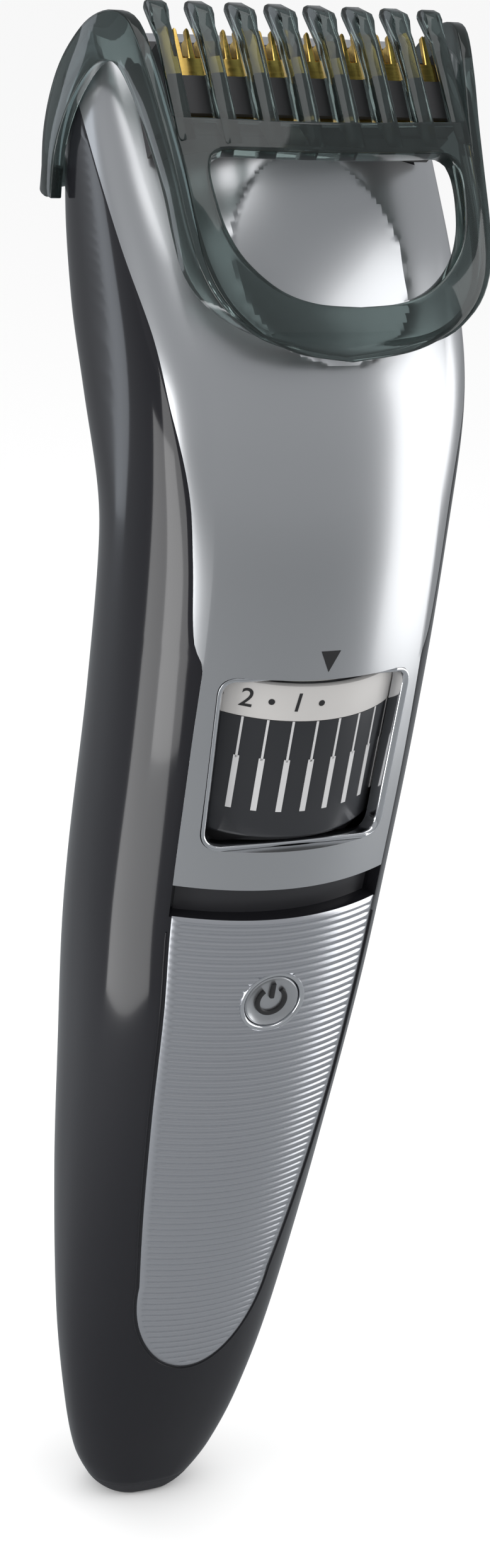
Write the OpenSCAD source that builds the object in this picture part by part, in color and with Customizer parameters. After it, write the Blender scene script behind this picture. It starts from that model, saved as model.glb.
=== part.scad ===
// Beard trimmer with a zoom wheel, a sliding hair comb and a toothed blade.
// +Z runs up the handle, the front faces -Y, and X = 0 is the plane of symmetry.
// The origin is the centre of the charging socket's mouth.

/* [Handle] */
// Height of the handle and head, without the comb
body_h = 168; // [168:1:172]
// Wall thickness of the casings
wall = 1.2; // [1.0:0.1:1.4]
// Radius of the crowned front face
front_r = 22; // [20:1:26]
// Squareness of the side and back curve
side_n = 2.3; // [2.1:0.1:2.6]
// Height where the ridged panel ends and the recess begins
panel_top = 84; // [82:0.5:85]
// Height where the upper housing begins
housing_bottom = 87.5; // [87:0.5:89]
// Lowest height of the ridged panel
panel_bottom = 23; // [22:0.5:26]

/* [Zoom wheel] */
// Outer radius of the wheel
wheel_r = 14.2; // [13.8:0.1:14.3]
// Height of the wheel
wheel_h = 18; // [17:0.5:18]
// Forward lean of the wheel axis and of the comb's travel
dial_lean = 5; // [4:0.5:6]
// Turn between two neighbouring settings
step_deg = 10.3; // [9:0.1:11]
// Number of length settings
settings = 20; // [10:1:20]
// Change of comb height from one setting to the next
step_mm = 0.5; // [0.3:0.1:0.5]

/* [Head] */
// Backward lean of the blades
blade_lean = 41; // [38:1:44]
// Width of the fixed blade
blade_w = 29; // [27:0.5:29.5]
// Number of teeth on the fixed blade
blade_teeth = 23; // [15:1:27]
// Stroke of the cutter to each side
cutter_stroke = 1.0; // [0.8:0.1:1.1]

/* [Comb] */
// Number of teeth on the comb
comb_teeth = 8; // [6:1:9]
// Distance between neighbouring comb teeth
comb_pitch = 4.15; // [3.8:0.05:4.2]
// Thickness of a comb tooth
tooth_t = 1.7; // [1.4:0.1:1.9]
// Thickness of the comb's plate
comb_t = 1.5; // [1.2:0.1:1.6]

/* [Power button] */
// Radius of the button
button_r = 3.1; // [2.8:0.1:3.3]
// Height of the button's centre
button_z = 74.5; // [73:0.5:76]
// Travel of the button
button_travel = 0.6; // [0.4:0.1:0.8]

/* [Charging socket] */
// Radius of the plug bore
socket_r = 1.75; // [1.5:0.05:2]
// Depth of the plug bore
socket_depth = 8; // [6:0.5:10]

/* [Hidden] */
$fn = 48;

// Height, half width, front, back and half width of the front face
profile = [
    [0, 4.8, -3.7, 3.6, 2.0], [2, 6.5, -4.6, 4.1, 2.4], [6, 8.5, -5.9, 4.3, 3.1],
    [14, 10.6, -8.1, 4.8, 4.5], [26, 12.6, -10.7, 6.5, 6.6], [44, 14.1, -14.3, 9.9, 9.0],
    [60, 14.9, -17.0, 12.2, 10.4], [74, 15.8, -18.8, 12.7, 11.1], [85, 16.3, -19.6, 11.9, 11.7],
    [104, 16.6, -21.1, 10.3, 12.0], [122, 17.0, -21.6, 10.2, 11.9], [134, 17.5, -19.9, 13.0, 12.4],
    [142, 17.8, -17.4, 16.6, 13.1], [150, 18.0, -11.9, 18.9, 14.0], [158, 18.0, -4.6, 19.1, 15.0],
    [163, 17.7, -0.1, 17.8, 15.4], [168, 16.6, 4.5, 12.5, 15.2]];

// Side seam between the upper housing and the back shell, as depth and height
seam = [[-17.6, 116], [-16.8, 124], [-15.6, 131], [-13.2, 137.5], [-9.2, 144], [-1.6, 151],
    [6.4, 157.6], [15.0, 164.0]];

// Slope of a column at knot i, for a smooth curve through the knots
function slope(t, c, i) = let (a = max(i - 1, 0), b = min(i + 1, len(t) - 1))
    (t[b][c] - t[a][c]) / (t[b][0] - t[a][0]);
function segment(t, z, i = 0) = i >= len(t) - 2 || z < t[i + 1][0] ? i : segment(t, z, i + 1);
function curve_at(t, c, z) = let (i = segment(t, z), h = t[i + 1][0] - t[i][0], u = (z - t[i][0]) / h)
    (2 * u * u * u - 3 * u * u + 1) * t[i][c] + (u * u * u - 2 * u * u + u) * h * slope(t, c, i)
    + (3 * u * u - 2 * u * u * u) * t[i + 1][c] + (u * u * u - u * u) * h * slope(t, c, i + 1);
function half_w(z) = curve_at(profile, 1, z);
function front_y(z) = curve_at(profile, 2, z);
function back_y(z) = curve_at(profile, 3, z);
function crease_x(z) = curve_at(profile, 4, z);
function crease_y(z) = front_y(z) + pow(crease_x(z), 2) / (2 * front_r);

// Outline of the handle at one height, pulled in by t: the crowned front, then side, back and side
front_steps = 8;
side_steps = 31;
function power_curve(v, n) = sign(v) * pow(abs(v), 2 / n);
// The section grows squarer towards the head
head_n = 1.8;
function side_power(z) = side_n + head_n * pow(sin(90 * max(0, min(1, (z - 116) / 32))), 2);
function outline(z, t = 0) =
    let (xc = crease_x(z) - t * 0.55, yc = crease_y(z) + t, a = half_w(z) - t, yb = back_y(z) - t,
        n = side_power(z), k = pow(1 - pow(xc / a, n), 1 / n), b = (yb - yc) / (1 + k), m = yb - b,
        start = -acos(pow(xc / a, n / 2)))
    concat(
        [for (i = [0:front_steps]) let (x = -xc + 2 * xc * i / front_steps)
            [x, yc + (x * x - xc * xc) / (2 * front_r), z]],
        [for (i = [1:side_steps - 1]) let (g = start + (180 - 2 * start) * i / side_steps)
            [a * power_curve(cos(g), n), m + b * power_curve(sin(g), n), z]]);

// Heights of the rings of a loft, closer together at the foot and in the head
ring_steps = 34;
function levels(z0, z1, n = ring_steps) = [for (i = [0:n]) let (u = i / n)
    z0 + (z1 - z0) * (u - 0.055 * sin(360 * u))];

// Solid through a list of rings that have the same number of points
module loft(rings) {
    n = len(rings[0]);
    last = len(rings) - 1;
    polyhedron(
        points = [for (r = rings) each r],
        faces = concat(
            [[for (j = [0:n - 1]) j]],
            [for (i = [0:last - 1], j = [0:n - 1]) let (k = (j + 1) % n)
                [i * n + j, (i + 1) * n + j, (i + 1) * n + k, i * n + k]],
            [[for (j = [n - 1:-1:0]) last * n + j]]),
        convexity = 6);
}

module handle_solid(t = 0, z0 = 0, z1 = body_h, n = ring_steps) {
    loft([for (z = levels(z0, z1, n)) outline(z, t)]);
}

// Prism through the whole width from an outline of depth and height
module across(points, w = 60) {
    rotate([90, 0, 90])
        translate([0, 0, -w / 2]) linear_extrude(w) polygon(points);
}

// Local frames: the wheel's, and the blades' with its origin at the middle of the tooth tips
dial_y = -6.2;
dial_z = 104;
tip_y = 2.6;
tip_z = 170.2;
module dial_frame() {
    translate([0, dial_y, dial_z]) rotate([dial_lean, 0, 0]) children();
}
module blade_frame() {
    translate([0, tip_y, tip_z]) rotate([-blade_lean, 0, 0]) children();
}

// Region in front of the seam, moved back by d
front_line = [for (z = [housing_bottom:3.5:seam[0][1] - 2]) [crease_y(z), z]];
module front_zone(d = 0, z0 = housing_bottom) {
    pts = concat([[-40, z0]], [[crease_y(z0) + d, z0]], [for (p = front_line) if (p[1] > z0) [p[0] + d, p[1]]],
        [for (p = seam) [p[0] + d, p[1] - d]], [[15.0 + d, body_h + 2], [-40, body_h + 2]]);
    across(pts);
}

// Space for the blade unit in the top of the head
module head_pocket(grow = 0) {
    blade_frame()
        translate([-15.2 - grow, -9, -10.5 - grow]) cube([30.4 + 2 * grow, 14.75 + grow, 30]);
}

module dial_window(grow = 0) {
    w = 10 + grow;
    r = 1.6;
    rotate([90, 0, 0]) translate([0, 0, 10]) linear_extrude(20)
        hull()
            for (s = [-1, 1]) {
                translate([s * (w - r), 112.6 + grow - r]) circle(r, $fn = 32);
                translate([s * (w - 0.4 - r), 94.3 - grow + r]) circle(r, $fn = 32);
            }
}

// Outline of the ridged panel seen from the front, made smaller by d
module panel_outline(d = 0) {
    half = concat(
        [for (z = [panel_top - d:-3:36]) [crease_x(z) - 0.1 - d, z]],
        [for (g = [0:12:90]) [(crease_x(36) - 0.1 - d) * cos(g), 36 - (36 - panel_bottom - d) * sin(g)]]);
    polygon(concat(half, [for (i = [len(half) - 2:-1:0]) [-half[i][0], half[i][1]]]));
}
module panel_prism(d = 0) {
    rotate([90, 0, 0]) linear_extrude(60) panel_outline(d);
}

// Slots in the back of the shell for the carriage's two tabs
slot_x = 9.5;
slot_w = 2.4;
module back_slots() {
    for (s = [-1, 1])
        translate([s * slot_x - slot_w / 2, 9, 150.4]) cube([slot_w, 20, 12.8]);
}

module back_shell() {
    color([0.03, 0.03, 0.035])
    resize([0, 0, 0])
    difference() {
        handle_solid(0, cap_h + 0.05);
        handle_solid(wall, cap_h + 1, body_h - 1.5);
        front_zone(0.05);
        // tray for the ridged panel
        intersection() {
            panel_prism(-0.1);
            difference() {
                handle_solid(-1);
                handle_solid(1.25);
            }
        }
        // the waist recess
        translate([-30, -40, panel_top - 0.3])
            cube([60, 40 + crease_y(panel_top) + 0.6, housing_bottom - panel_top + 0.35]);
        head_pocket(0.1);
        back_slots();
        // room for the wheel behind the window
        translate([-11.2, -30, housing_bottom]) cube([22.4, 17, 29]);
        // button opening
        translate([0, 0, button_z]) rotate([90, 0, 0]) cylinder(r = button_r + 0.9, h = 40);
        // seat of the charging socket
        translate([0, 0, -1]) cylinder(r = socket_body_r + 0.02, h = 6);
        // screw hole in the back, with a counterbore for the head
        translate([0, 4, screw_z]) rotate([-90, 0, 0]) cylinder(r = 1.15, h = 40);
        translate([0, back_y(screw_z) - 0.7, screw_z]) rotate([-90, 0, 0]) cylinder(r = 2.0, h = 40);
    }
}
cap_h = 2.2;
socket_body_r = 2.7;
screw_z = 137.5;

// Shallow round dish in the sloping face of the head
dish_r = 16;
dish_z = 152;
dish_depth = 2.6;
module thumb_dish(grow = 0) {
    translate([0, front_y(dish_z) - 0.74 * (dish_r - dish_depth), dish_z + 0.67 * (dish_r - dish_depth)])
        sphere(r = dish_r + grow, $fn = 64);
}

module front_housing() {
    color([0.72, 0.73, 0.76])
    resize([0, 0, 0])
    difference() {
        intersection() {
            difference() {
                difference() {
                    handle_solid(0, housing_bottom - 6);
                    thumb_dish();
                }
                difference() {
                    handle_solid(wall, housing_bottom - 8, body_h - 1.5);
                    thumb_dish(wall);
                }
            }
            front_zone(0);
        }
        dial_window(0.5);
        head_pocket(0.1);
    }
}

module grip_panel() {
    color([0.66, 0.67, 0.70])
    resize([0, 0, 0])
    difference() {
        intersection() {
            difference() {
                handle_solid(0, 10, 96);
                handle_solid(1.1, 8, 98);
            }
            panel_prism(0.05);
            translate([-30, -60, 0]) cube([60, 60 - 4, 120]);
        }
        translate([0, 0, button_z]) rotate([90, 0, 0]) cylinder(r = button_r + 0.15, h = 60);
    }
}

module waist_band() {
    color([0.05, 0.05, 0.055])
    resize([0, 0, 0])
    intersection() {
        difference() {
            handle_solid(1.9, 76, 94, 6);
            handle_solid(3.0, 74, 96, 6);
        }
        translate([-30, -40, panel_top - 1.2])
            cube([60, 40 + crease_y(panel_top) + 3, housing_bottom - panel_top + 2.4]);
    }
}

module dial_bezel() {
    color([0.85, 0.86, 0.88])
    resize([0, 0, 0])
    intersection() {
        difference() {
            dial_window(0.45);
            dial_window(0);
        }
        difference() {
            handle_solid(-0.05, 90, 118, 10);
            handle_solid(wall - 0.4, 88, 120, 10);
        }
    }
}

module power_button() {
    color([0.70, 0.71, 0.74])
    translate([0, front_y(button_z) + 0.35, button_z]) rotate([-90, 0, 0]) {
        difference() {
            cylinder(r = button_r, h = 1.7);
            // shallow round mark in the face
            translate([0, 0, -0.1]) difference() {
                cylinder(r = 2.2, h = 0.35);
                translate([0, 0, -0.1]) cylinder(r = 1.6, h = 0.6);
            }
        }
        translate([0, 0, 1.7]) cylinder(r = button_r + 0.45, h = 0.5);
        translate([0, 0, 2.2]) cylinder(r = 1.2, h = 0.75);
    }
}

// Local frame of the circuit board: its lower edge, leaning with the front face
board_lean = 7.2;
board_len = 64;
module board_frame() {
    translate([0, -5.2, 15]) rotate([board_lean, 0, 0]) children();
}
cell_r = 5.2;
cell_len = 44;
cell_z = 15.5;

module button_switch() {
    color([0.15, 0.15, 0.16])
    board_frame()
        translate([0, 0, (button_z - 15) / cos(board_lean)]) {
            translate([-3, -1.6, -3]) cube([6, 1.6, 6]);
            rotate([90, 0, 0]) cylinder(r = 1.6, h = 2.0);
        }
}

module circuit_board() {
    color([0.05, 0.30, 0.14])
    board_frame() {
        translate([-7.5, 0, 0]) cube([15, 1.2, board_len]);
        for (p = [[-4, 8, 3, 4], [3, 12, 4, 3], [-3, 46, 5, 5], [4, 52, 2, 3]])
            translate([p[0] - p[2] / 2, -1, p[1]]) cube([p[2], 1, p[3]]);
    }
}

module battery_cell() {
    color([0.16, 0.42, 0.25])
    board_frame()
        translate([0, 1.2 + 0.5 + cell_r, cell_z]) {
            cylinder(r = cell_r, h = cell_len);
            translate([0, 0, cell_len]) cylinder(r = 1.9, h = 0.8);
        }
}

module battery_contacts() {
    color([0.75, 0.76, 0.78])
    board_frame()
        for (z = [cell_z - 0.4, cell_z + cell_len + 0.8])
            translate([-2.5, 1.2, z]) cube([5, 8, 0.4]);
}

module charging_socket() {
    color([0.06, 0.06, 0.065])
    difference() {
        cylinder(r = socket_body_r, h = socket_depth + 2);
        translate([0, 0, -1]) cylinder(r = socket_r, h = socket_depth + 1);
    }
}

module socket_pins() {
    color([0.80, 0.80, 0.82])
    for (s = [-1, 1])
        translate([s * 1.3 - 0.4, -0.2, socket_depth + 2]) cube([0.8, 0.4, 3]);
}

module bottom_cap() {
    color([0.07, 0.07, 0.075])
    resize([0, 0, 0])
    difference() {
        handle_solid(0, 0, cap_h, 3);
        translate([0, 0, -1]) cylinder(r = socket_body_r + 0.02, h = 6);
    }
}

// The motor stands on the wheel's axis, inside the wheel
motor_r = 7.4;
motor_lo = -16;
motor_hi = 8;
shaft_r = 1.0;
module motor_can() {
    color([0.62, 0.63, 0.65])
    dial_frame()
        difference() {
            union() {
                translate([0, 0, motor_lo]) cylinder(r = motor_r, h = motor_hi - motor_lo);
                translate([0, 0, motor_lo - 1.5]) cylinder(r = 3, h = 1.5);
            }
            translate([0, 0, motor_hi - 4]) cylinder(r = shaft_r + 0.05, h = 5);
        }
}

module motor_mount() {
    color([0.10, 0.10, 0.11])
    dial_frame()
        difference() {
            union() {
                translate([0, 0, motor_lo - 3]) cylinder(r = motor_r + 1, h = motor_hi - motor_lo + 3);
                translate([0, 0, -9.6]) cylinder(r = 12.9, h = 1.2);
                translate([0, 0, -8.4]) cylinder(r = wheel_bore - 0.1, h = 2.4);
                translate([0, 0, motor_lo - 3]) cylinder(r = 10.6, h = 1.2);
            }
            difference() {
                translate([0, 0, -8.39]) cylinder(r = wheel_bore - 1.1, h = 3);
                translate([0, 0, -9]) cylinder(r = motor_r + 1, h = 5);
            }
            translate([0, 0, motor_lo]) cylinder(r = motor_r, h = 40);
            translate([0, 0, motor_lo - 4]) cylinder(r = 3, h = 5);
        }
}

module motor_shaft() {
    color([0.80, 0.81, 0.83])
    dial_frame()
        translate([0, 0, motor_hi - 3.7]) cylinder(r = shaft_r, h = 7);
}

eccentric = 1.0;
module eccentric_pin() {
    color([0.85, 0.85, 0.82])
    dial_frame() {
        difference() {
            translate([0, 0, motor_hi + 0.8]) cylinder(r = 3, h = 2.8);
            translate([0, 0, motor_hi]) cylinder(r = shaft_r, h = 3.3);
        }
        translate([eccentric, 0, motor_hi + 3.6]) cylinder(r = 0.8, h = 3.4);
    }
}

// The lever swings on an axle half way between the motor and the cutter
lever_lean = 9.9;
lever_len = 48;
lever_pivot = 23;
module lever_frame() {
    translate([0, -8, 117.5]) rotate([-lever_lean, 0, 0]) children();
}
axle_r = 1.0;
module drive_lever() {
    color([0.88, 0.88, 0.85])
    lever_frame()
        difference() {
            union() {
                for (s = [-1, 1])
                    translate([s * 3.5 - 0.6, -2.2, -0.9]) cube([1.2, 4.4, 4.3]);
                translate([-4.1, -2.2, 3.4]) cube([8.2, 4.4, 1.6]);
                translate([-1.5, -1.2, 4.5]) cube([3, 2.4, lever_len - 10.5]);
                translate([-0.8, -0.4, lever_len - 7]) cube([1.6, 1.2, 7]);
                translate([0, -2, lever_pivot]) rotate([-90, 0, 0]) cylinder(r = 2.6, h = 4);
            }
            translate([0, -3, lever_pivot]) rotate([-90, 0, 0]) cylinder(r = axle_r + 0.04, h = 6);
        }
}

module lever_axle() {
    color([0.80, 0.81, 0.83])
    lever_frame()
        translate([0, -2.6, lever_pivot]) rotate([-90, 0, 0]) cylinder(r = axle_r, h = 10);
}

module lever_bracket() {
    color([0.10, 0.10, 0.11])
    difference() {
        lever_frame()
            difference() {
                translate([-3.6, 2.3, lever_pivot - 5]) cube([7.2, 12.6, 9]);
                translate([0, 2, lever_pivot]) rotate([-90, 0, 0]) cylinder(r = axle_r, h = 6);
            }
        translate([0, back_y(screw_z) - 8.5, screw_z]) rotate([-90, 0, 0]) cylinder(r = 0.9, h = 12);
    }
}

module housing_screw() {
    color([0.55, 0.56, 0.58])
    translate([0, back_y(screw_z) - 0.7, screw_z]) rotate([90, 0, 0]) {
        difference() {
            translate([0, 0, -0.6]) cylinder(r = 1.9, h = 0.6);
            translate([-1.2, -0.25, -0.7]) cube([2.4, 0.5, 0.45]);
        }
        cylinder(r = 0.9, h = 7.5);
    }
}

// Wheel: a sleeve that turns on the motor mount's collar
wheel_bore = 12;
wheel_lo = -8;
ring_lo = 5.6;
ring_h = 4.0;
track_r = 13.1;
track_lo = -5.4;
module zoom_wheel() {
    color([0.05, 0.05, 0.055])
    dial_frame()
        difference() {
            union() {
                translate([0, 0, wheel_lo]) cylinder(r = wheel_r, h = ring_lo - wheel_lo);
                translate([0, 0, ring_lo]) cylinder(r = wheel_r - 0.5, h = ring_h);
            }
            translate([0, 0, wheel_lo - 1]) cylinder(r = wheel_bore, h = wheel_h + 4);
            translate([0, 0, track_lo]) cylinder(r = track_r, h = wheel_h + 4);
        }
}

// Sleeve fixed inside the wheel: its climbing slot lifts the carriage as the wheel turns
slot_h = 1.8;
slot_z = -2.6;
follower_r = 0.7;
slot_turn = (settings - 1) * step_deg;
slot_rise = (settings - 1) * step_mm;
module climbing_slot() {
    loft([for (i = [-2:42]) let (u = i / 40, g = -u * slot_turn, z = slot_z + u * slot_rise)
        [for (q = [[wheel_bore - 1, -1], [track_r + 1, -1], [track_r + 1, 1], [wheel_bore - 1, 1]])
            [q[0] * cos(g), q[0] * sin(g), z + q[1] * slot_h / 2]]]);
}
module climbing_track() {
    color([0.86, 0.86, 0.83])
    resize([0, 0, 0])
    dial_frame()
        difference() {
            translate([0, 0, track_lo]) cylinder(r = track_r, h = ring_lo + ring_h - track_lo, $fn = 96);
            translate([0, 0, track_lo - 1]) cylinder(r = wheel_bore, h = wheel_h + 4, $fn = 96);
            climbing_slot();
        }
}

module number_ring() {
    color([0.78, 0.77, 0.75])
    dial_frame()
        difference() {
            translate([0, 0, ring_lo]) cylinder(r = wheel_r + 0.1, h = ring_h);
            translate([0, 0, ring_lo - 1]) cylinder(r = wheel_r - 0.5, h = ring_h + 2);
        }
}

mark_shift = 2;
module wheel_inlays() {
    color([0.62, 0.63, 0.64])
    dial_frame()
        for (i = [-17:17])
            rotate([0, 0, i * step_deg + mark_shift - 90]) {
                translate([wheel_r - 0.3, -0.12, 1.2]) cube([0.4, 0.24, ring_lo - 1.2]);
                translate([wheel_r - 0.3, -0.32, -4.6]) cube([0.4, 0.64, 5.8]);
            }
}

module detent_spring() {
    color([0.70, 0.71, 0.73])
    dial_frame()
        rotate([0, 0, 60])
            rotate_extrude(angle = 60) translate([wheel_bore + 0.1, -8.4]) square([0.7, 0.2]);
}

// Carriage: a ring inside the wheel with two arms that leave through the back slots
arm_w = 1.6;
module carriage_arm() {
    translate([slot_x - arm_w / 2, 0, 0])
        rotate([90, 0, 90]) linear_extrude(arm_w)
            polygon([[-4.6, 104], [-2.4, 104], [-2.8, 115.5], [5.6, 126], [7.4, 131], [11.0, 142], [13.0, 151],
                [20.4, 151], [20.4, 153], [11.0, 153], [9.2, 142.4], [5.6, 131.6], [3.8, 127], [-4.9, 116.5]]);
}
module comb_carriage() {
    color([0.12, 0.12, 0.13])
    union() {
        dial_frame() {
            difference() {
                translate([0, 0, -4]) cylinder(r = 10.9, h = 3);
                translate([0, 0, -5]) cylinder(r = 9.4, h = 5);
            }
            translate([10.2, 0, slot_z]) rotate([0, 90, 0]) cylinder(r = follower_r, h = 2.6);
        }
        for (s = [0, 1])
            mirror([s, 0, 0]) {
                carriage_arm();
                translate([slot_x - arm_w / 2, -4.6, 100.4]) cube([arm_w, 2.2, 4.2]);
            }
    }
}

// Comb: depth and height of its face on the middle plane, from the lip to the tooth tips
comb_line = [[-18.3, 144.0], [-19.4, 146.2], [-18.9, 149.2], [-17.1, 153], [-14.4, 157.2], [-11.3, 161],
    [-8.0, 164.6], [-4.6, 168.2], [-1.6, 171.2], [0.9, 172.8], [2.6, 172.9]];
function unit(v) = v / norm(v);
function comb_normal(i) = let (a = comb_line[max(i - 1, 0)], b = comb_line[min(i + 1, len(comb_line) - 1)],
    d = unit(b - a)) [d[1], -d[0]];
function comb_inner(i, t) = comb_line[i] + t * comb_normal(i);
// Cross section of the comb's plate: how far its face lies back at each half width
comb_half = [[0, 0], [5, 0.2], [10, 0.8], [13.4, 1.6], [15.3, 2.4], [16.6, 3.3]];
function comb_crown(x, i = 0) = i >= len(comb_half) - 2 || x < comb_half[i + 1][0]
    ? comb_half[i][1] + (comb_half[i + 1][1] - comb_half[i][1]) * (x - comb_half[i][0])
        / (comb_half[i + 1][0] - comb_half[i][0])
    : comb_crown(x, i + 1);
function comb_row(p) = concat(
    [for (i = [len(comb_half) - 1:-1:1]) [-comb_half[i][0], p[0] + comb_half[i][1], p[1]]],
    [for (q = comb_half) [q[0], p[0] + q[1], p[1]]]);
module comb_sheet() {
    loft([for (i = [0:6]) concat(comb_row(comb_line[i]),
        [for (k = [2 * len(comb_half) - 2:-1:0]) comb_row(comb_inner(i, comb_t + 0.2))[k]])]);
}

// Half outline of the comb's frame seen from the front, and the window in it
comb_rim = [[0, 144.0], [5.5, 144.9], [9.0, 146.4], [11.6, 148.1], [13.6, 150.2], [14.8, 152.8], [15.2, 156.0],
    [15.4, 160.0], [15.7, 164.4], [0, 164.4]];
comb_opening = [[0, 149.6], [4.5, 149.9], [8.0, 151.0], [10.9, 153.2], [12.4, 155.6], [13.0, 158.2],
    [13.25, 160.9], [12.8, 161.9], [0, 161.95]];
module both_halves(half) {
    rotate([90, 0, 0]) linear_extrude(40)
        polygon(concat(half, [for (i = [len(half) - 2:-1:1]) [-half[i][0], half[i][1]]]));
}

module comb_tooth(x) {
    crown = comb_crown(abs(x));
    front = [[-10.2, 162.3], [-8.0, 164.6], [-4.6, 168.2], [-1.2, 171.6], [-0.2, 172.5]];
    back = [[2.6, 172.95], [3.8, 172.9], [4.4, 172.4], [4.3, 171.8], [3.1, 171.6], [0, 169.8], [-2.5, 167.4],
        [-3.9, 165.8], [-6.5, 162.9]];
    translate([x - tooth_t / 2, 0, 0])
        rotate([90, 0, 90]) linear_extrude(tooth_t)
            polygon(concat([for (p = front) [p[0] + crown, p[1]]], back));
}

// Side arches: up beside the plate, over the head and down to the carriage
arch_out = [[14.9, -17.6, 149.4], [15.4, -14.6, 152.6], [15.9, -10.6, 158.2], [16.4, -6.8, 163.6],
    [17.0, -2.8, 168.4], [17.8, 0.8, 171.6], [18.6, 4.0, 171.5], [19.0, 8.0, 169.7], [19.1, 11.4, 167.2],
    [19.1, 14.2, 164.4], [19.1, 16.4, 161.0], [19.1, 17.6, 157.6], [19.1, 17.8, 154.6], [19.1, 17.4, 151.0]];
arch_in = [[14.9, -16.4, 149.6], [15.4, -12.9, 152.0], [15.9, -7.6, 157.0], [16.4, -3.6, 161.6],
    [17.0, -0.6, 165.0], [17.8, 2.2, 167.6], [18.6, 4.4, 167.7], [19.0, 6.4, 166.6], [19.1, 8.8, 164.7],
    [19.1, 11.2, 162.2], [19.1, 13.2, 159.4], [19.1, 14.4, 156.6], [19.1, 14.8, 154.0], [19.1, 15.0, 151.0]];
arch_t = 1.36;
module comb_side_arch() {
    loft([for (i = [0:len(arch_out) - 1]) let (a = arch_out[i], b = arch_in[i], h = arch_t / 2)
        [a - [h, 0, 0], a + [h, 0, 0], b + [h, 0, 0], b - [h, 0, 0]]]);
}
// Heel that runs round the back to meet the carriage's tab
heel_out = [[19.75, 15.4], [19.6, 17.6], [18.2, 19.6], [16.0, 20.8], [13.0, 21.4], [7.7, 21.5]];
heel_in = [[18.45, 15.4], [18.3, 16.8], [17.2, 18.2], [15.2, 19.2], [12.6, 19.8], [7.7, 19.9]];
module comb_heel() {
    difference() {
        translate([0, 0, 151.1]) linear_extrude(3.2)
            polygon(concat(heel_out, [for (i = [len(heel_in) - 1:-1:0]) heel_in[i]]));
        translate([slot_x - arm_w / 2 - 0.02, 10, 150.98]) cube([arm_w + 0.04, 10.42, 2.04]);
    }
}

module hair_comb() {
    color([0.16, 0.21, 0.20, 0.75])
    resize([0, 0, 0])
    union() {
        difference() {
            intersection() {
                comb_sheet();
                both_halves(comb_rim);
            }
            both_halves(comb_opening);
        }
        for (i = [0:comb_teeth - 1])
            comb_tooth((i - (comb_teeth - 1) / 2) * comb_pitch);
        for (s = [0, 1])
            mirror([s, 0, 0]) {
                comb_side_arch();
                comb_heel();
            }
    }
}

// Blades
blade_len = 10;
module toothed_plate(w, lower, root, tip, teeth, pitch) {
    polygon(concat(
        [[-w / 2, lower], [w / 2, lower], [w / 2, root]],
        [for (i = [teeth - 1:-1:0]) let (x = (i - (teeth - 1) / 2) * pitch)
            each [[x + pitch * 0.27, root], [x + pitch * 0.12, tip],
                [x - pitch * 0.12, tip], [x - pitch * 0.27, root]]],
        [[-w / 2, root]]));
}

module fixed_blade() {
    color([0.83, 0.66, 0.28])
    blade_frame()
        rotate([90, 0, 0]) linear_extrude(0.6)
            toothed_plate(blade_w, -blade_len, -3.1, 0, blade_teeth, blade_w / blade_teeth);
}

cutter_w = 26;
module moving_blade() {
    color([0.80, 0.64, 0.30])
    blade_frame()
        difference() {
            union() {
                translate([0, 0.85, 0]) rotate([90, 0, 0]) linear_extrude(0.8)
                    toothed_plate(cutter_w, -8, -3.4, -0.9, 21, blade_w / blade_teeth);
                translate([-3, 0.85, -8]) cube([6, 2.6, 4.4]);
            }
            translate([-1.0, -0.5, -9]) cube([2.0, 5, 4.9]);
        }
}

module blade_holder() {
    color([0.07, 0.07, 0.075])
    blade_frame()
        difference() {
            union() {
                translate([-15, 1.1, -10.2]) cube([30, 4.4, 8.2]);
                translate([-15, 0, -10.2]) cube([30, 1.1, 1.9]);
                translate([-15, -1.2, -9.2]) cube([30, 0.6, 3.9]);
                for (s = [-1, 1])
                    translate([s * 14.75 - 0.25, -1.2, -9.2]) cube([0.5, 2.4, 7.2]);
            }
            translate([-4.4, 1, -9.6]) cube([8.8, 6, 6.2]);
            translate([-4.4, 0.9, -9.6]) cube([8.8, 0.3, 6.2]);
            translate([-2.6, -0.1, -10.3]) cube([5.2, 6, 2.2]);
            for (s = [-1, 1])
                translate([s * 9, 1, -5]) rotate([-90, 0, 0]) cylinder(r = 1.6, h = 2.5);
        }
}

module blade_springs() {
    color([0.78, 0.79, 0.80])
    blade_frame()
        for (s = [-1, 1])
            translate([s * 9, 1.0, -5]) rotate([-90, 0, 0])
                difference() {
                    cylinder(r = 1.4, h = 2.5);
                    translate([0, 0, -1]) cylinder(r = 1.0, h = 5);
                }
}

module head_seal() {
    color([0.12, 0.12, 0.12])
    blade_frame()
        difference() {
            translate([-15, 1.5, -10.45]) cube([30, 4, 0.25]);
            translate([-4.6, 1, -11]) cube([9.2, 6, 2]);
        }
}

back_shell();
front_housing();
grip_panel();
waist_band();
dial_bezel();
power_button();
button_switch();
circuit_board();
battery_cell();
battery_contacts();
charging_socket();
socket_pins();
bottom_cap();
motor_can();
motor_mount();
motor_shaft();
eccentric_pin();
drive_lever();
lever_axle();
lever_bracket();
housing_screw();
zoom_wheel();
climbing_track();
number_ring();
wheel_inlays();
comb_carriage();
detent_spring();
hair_comb();
fixed_blade();
moving_blade();
blade_holder();
blade_springs();
head_seal();
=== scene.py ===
"""Beard trimmer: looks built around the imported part, in metres, with the part's own frame."""
import math

import bmesh
import bpy
from mathutils import Matrix, Vector


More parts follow.
